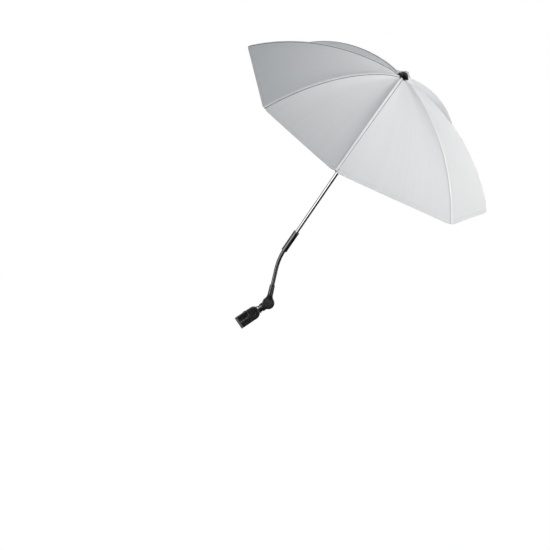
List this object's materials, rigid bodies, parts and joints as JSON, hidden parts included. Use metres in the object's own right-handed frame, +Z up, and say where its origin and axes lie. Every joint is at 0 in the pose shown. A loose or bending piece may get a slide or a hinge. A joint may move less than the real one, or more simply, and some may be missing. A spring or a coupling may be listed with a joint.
{
  "type": "pram parasol",
  "caption": "Clip-on pram parasol: curved folding canopy on a chromed shaft, bendable neck, push-button knuckle and screw clamp for a round tube.",
  "frame": {"origin": "middle of the clamped tube's axis", "axes": "+Z up as pictured, +X to the right, +Y away from the viewer"},
  "size_m": [0.5989, 0.6054, 0.7131],
  "materials": {
    "black_plastic": "satin moulded",
    "gloss_black": "gloss moulded",
    "neck_grey": "satin vinyl sleeve",
    "chrome": "chromed steel tube",
    "steel": "zinc plated",
    "black_steel": "blackened",
    "brass": "turned",
    "rubber": "matte",
    "rib_metal": "grey coated wire",
    "tip_plastic": "moulded",
    "canopy_cloth": "silver coated polyester"
  },
  "bodies": {
    "clamp": {"clamp_frame": "black_plastic", "clamp_pad": "rubber", "thread_insert": "brass", "swivel_screw": "black_steel"},
    "jaw": {"clamp_jaw": "black_plastic", "clamp_jaw_pad": "rubber"},
    "knob": {"clamp_screw": "steel", "clamp_knob": "black_plastic"},
    "lug": {"swivel_lug": "black_plastic", "swivel_washer": "steel", "knuckle_bolt": "steel", "knuckle_nut": "steel", "button_spring": "steel"},
    "foot": {"wand_foot": "black_plastic", "gooseneck_lower": "neck_grey"},
    "button": {"release_button": "gloss_black", "lock_ring": "steel"},
    "neck": {"gooseneck_upper": "neck_grey"},
    "wand": {"wand_sleeve": "gloss_black", "sleeve_pin": "steel", "shaft": "chrome", "crown": "black_plastic", "crown_ring": "steel", "finial_washer": "gloss_black", "finial_cap": "gloss_black"},
    "catch": {"runner_catch": "steel"},
    "runner": {"runner": "black_plastic", "runner_ring": "steel"},
    "rib_1": {"rib_1": "rib_metal", "rib_tip_1": "tip_plastic", "canopy_panel_1": "canopy_cloth"},
    "stretcher_1": {"stretcher_1": "rib_metal"},
    "rib_2": {"rib_2": "rib_metal", "rib_tip_2": "tip_plastic", "canopy_panel_2": "canopy_cloth"},
    "stretcher_2": {"stretcher_2": "rib_metal"},
    "rib_3": {"rib_3": "rib_metal", "rib_tip_3": "tip_plastic", "canopy_panel_3": "canopy_cloth"},
    "stretcher_3": {"stretcher_3": "rib_metal"},
    "rib_4": {"rib_4": "rib_metal", "rib_tip_4": "tip_plastic", "canopy_panel_4": "canopy_cloth"},
    "stretcher_4": {"stretcher_4": "rib_metal"},
    "rib_5": {"rib_5": "rib_metal", "rib_tip_5": "tip_plastic", "canopy_panel_5": "canopy_cloth"},
    "stretcher_5": {"stretcher_5": "rib_metal"},
    "rib_6": {"rib_6": "rib_metal", "rib_tip_6": "tip_plastic", "canopy_panel_6": "canopy_cloth"},
    "stretcher_6": {"stretcher_6": "rib_metal"},
    "rib_7": {"rib_7": "rib_metal", "rib_tip_7": "tip_plastic", "canopy_panel_7": "canopy_cloth"},
    "stretcher_7": {"stretcher_7": "rib_metal"},
    "rib_8": {"rib_8": "rib_metal", "rib_tip_8": "tip_plastic", "canopy_panel_8": "canopy_cloth"},
    "stretcher_8": {"stretcher_8": "rib_metal"}
  },
  "joints": [
    {"name": "jaw_slide", "type": "slide", "parent": "clamp", "child": "jaw", "axis": [0, 1, 0], "range_m": [-0.004, 0.006]},
    {"name": "knob_turn", "type": "hinge", "parent": "jaw", "child": "knob", "pos_m": [0, 0, 0], "axis": [0, 1, 0], "range_deg": [-360.1, 540.1]},
    {"name": "clamp_swivel", "type": "hinge", "parent": "clamp", "child": "lug", "pos_m": [0, 0, 0], "axis": [0.829, 0, 0.5592], "range_deg": [-180, 180]},
    {"name": "knuckle_tilt", "type": "hinge", "parent": "lug", "child": "foot", "pos_m": [0.05389, 0, 0.03635], "axis": [0, 1, 0], "range_deg": [-75, 75]},
    {"name": "button_press", "type": "slide", "parent": "foot", "child": "button", "axis": [0, 1, 0], "range_m": [0, 0.0025], "stiffness_N_per_m": 900, "springref_m": -0.003, "deforming": ["button_spring"]},
    {"name": "neck_bend", "type": "hinge", "parent": "foot", "child": "neck", "pos_m": [0.06902, 0, 0.10187], "axis": [0.7949, 0.5783, -0.1835], "range_deg": [-40, 40], "deforming": ["gooseneck_lower"]},
    {"name": "neck_sway", "type": "hinge", "parent": "neck", "child": "wand", "pos_m": [0.08193, -0.00332, 0.14734], "axis": [0.4718, -0.7794, -0.4122], "range_deg": [-40, 40], "deforming": ["gooseneck_upper"]},
    {"name": "catch_press", "type": "slide", "parent": "wand", "child": "catch", "axis": [0.2689, 0.8875, 0.3742], "range_m": [0, 0.0026], "stiffness_N_per_m": 400, "springref_m": -0.002},
    {"name": "runner_slide", "type": "slide", "parent": "wand", "child": "runner", "axis": [0.5038, -0.4607, 0.7307], "range_m": [-0.25046, 0]},
    {"name": "canopy_fold", "type": "hinge", "parent": "wand", "child": "rib_1", "pos_m": [0.3592, -0.26896, 0.55432], "axis": [0.8209, -0.0079, -0.571], "range_deg": [0, 65.6], "deforming": ["canopy_panel_1", "runner_catch"]},
    {"name": "rib_2_fold", "type": "hinge", "parent": "wand", "child": "rib_2", "pos_m": [0.36838, -0.26477, 0.55063], "axis": [0.707, 0.7059, -0.0424], "range_deg": [0, 65.6], "deforming": ["canopy_panel_2"]},
    {"name": "rib_3_fold", "type": "hinge", "parent": "wand", "child": "rib_3", "pos_m": [0.37227, -0.25841, 0.55196], "axis": [0.2689, 0.8875, 0.3742], "range_deg": [0, 65.6], "deforming": ["canopy_panel_3"]},
    {"name": "rib_4_fold", "type": "hinge", "parent": "wand", "child": "rib_4", "pos_m": [0.37091, -0.24984, 0.5583], "axis": [-0.4963, 0.538, 0.6814], "range_deg": [0, 65.6], "deforming": ["canopy_panel_4"]},
    {"name": "rib_5_fold", "type": "hinge", "parent": "wand", "child": "rib_5", "pos_m": [0.36565, -0.24766, 0.5633], "axis": [-0.8209, 0.0079, 0.571], "range_deg": [0, 65.6], "deforming": ["canopy_panel_5"]},
    {"name": "rib_6_fold", "type": "hinge", "parent": "wand", "child": "rib_6", "pos_m": [0.35647, -0.25186, 0.56699], "axis": [-0.707, -0.7059, 0.0424], "range_deg": [0, 65.6], "deforming": ["canopy_panel_6"]},
    {"name": "rib_7_fold", "type": "hinge", "parent": "wand", "child": "rib_7", "pos_m": [0.35257, -0.25822, 0.56566], "axis": [-0.2689, -0.8875, -0.3742], "range_deg": [0, 65.6], "deforming": ["canopy_panel_7"]},
    {"name": "rib_8_fold", "type": "hinge", "parent": "wand", "child": "rib_8", "pos_m": [0.35394, -0.26678, 0.55932], "axis": [0.4963, -0.538, -0.6814], "range_deg": [0, 65.6], "deforming": ["canopy_panel_8"]},
    {"name": "stretcher_1_fold", "type": "hinge", "parent": "rib_1", "child": "stretcher_1", "pos_m": [0.29883, -0.39485, 0.46929], "axis": [0.8209, -0.0079, -0.571], "range_deg": [-131.21, 0]},
    {"name": "stretcher_2_fold", "type": "hinge", "parent": "rib_2", "child": "stretcher_2", "pos_m": [0.43026, -0.33481, 0.41653], "axis": [0.707, 0.7059, -0.0424], "range_deg": [-131.21, 0]},
    {"name": "stretcher_3_fold", "type": "hinge", "parent": "rib_3", "child": "stretcher_3", "pos_m": [0.48602, -0.24376, 0.43548], "axis": [0.2689, 0.8875, 0.3742], "range_deg": [-131.21, 0]},
    {"name": "stretcher_4_fold", "type": "hinge", "parent": "rib_4", "child": "stretcher_4", "pos_m": [0.46646, -0.12114, 0.52628], "axis": [-0.4963, 0.538, 0.6814], "range_deg": [-131.21, 0]},
    {"name": "stretcher_5_fold", "type": "hinge", "parent": "rib_5", "child": "stretcher_5", "pos_m": [0.3912, -0.08995, 0.59784], "axis": [-0.8209, 0.0079, 0.571], "range_deg": [-131.21, 0]},
    {"name": "stretcher_6_fold", "type": "hinge", "parent": "rib_6", "child": "stretcher_6", "pos_m": [0.25977, -0.14998, 0.65061], "axis": [-0.707, -0.7059, 0.0424], "range_deg": [-131.21, 0]},
    {"name": "stretcher_7_fold", "type": "hinge", "parent": "rib_7", "child": "stretcher_7", "pos_m": [0.20401, -0.24103, 0.63165], "axis": [-0.2689, -0.8875, -0.3742], "range_deg": [-131.21, 0]},
    {"name": "stretcher_8_fold", "type": "hinge", "parent": "rib_8", "child": "stretcher_8", "pos_m": [0.22357, -0.36365, 0.54086], "axis": [0.4963, -0.538, -0.6814], "range_deg": [-131.21, 0]}
  ],
  "couplings": [
    {"joint": "knob_turn", "follows": "jaw_slide", "rad_per_m": 1570.8},
    {"joint": "runner_slide", "follows": "canopy_fold", "m_per_rad": -0.21875},
    {"joint": "rib_2_fold", "follows": "canopy_fold", "ratio": 1},
    {"joint": "rib_3_fold", "follows": "canopy_fold", "ratio": 1},
    {"joint": "rib_4_fold", "follows": "canopy_fold", "ratio": 1},
    {"joint": "rib_5_fold", "follows": "canopy_fold", "ratio": 1},
    {"joint": "rib_6_fold", "follows": "canopy_fold", "ratio": 1},
    {"joint": "rib_7_fold", "follows": "canopy_fold", "ratio": 1},
    {"joint": "rib_8_fold", "follows": "canopy_fold", "ratio": 1},
    {"joint": "stretcher_1_fold", "follows": "canopy_fold", "ratio": -2},
    {"joint": "stretcher_2_fold", "follows": "canopy_fold", "ratio": -2},
    {"joint": "stretcher_3_fold", "follows": "canopy_fold", "ratio": -2},
    {"joint": "stretcher_4_fold", "follows": "canopy_fold", "ratio": -2},
    {"joint": "stretcher_5_fold", "follows": "canopy_fold", "ratio": -2},
    {"joint": "stretcher_6_fold", "follows": "canopy_fold", "ratio": -2},
    {"joint": "stretcher_7_fold", "follows": "canopy_fold", "ratio": -2},
    {"joint": "stretcher_8_fold", "follows": "canopy_fold", "ratio": -2}
  ]
}
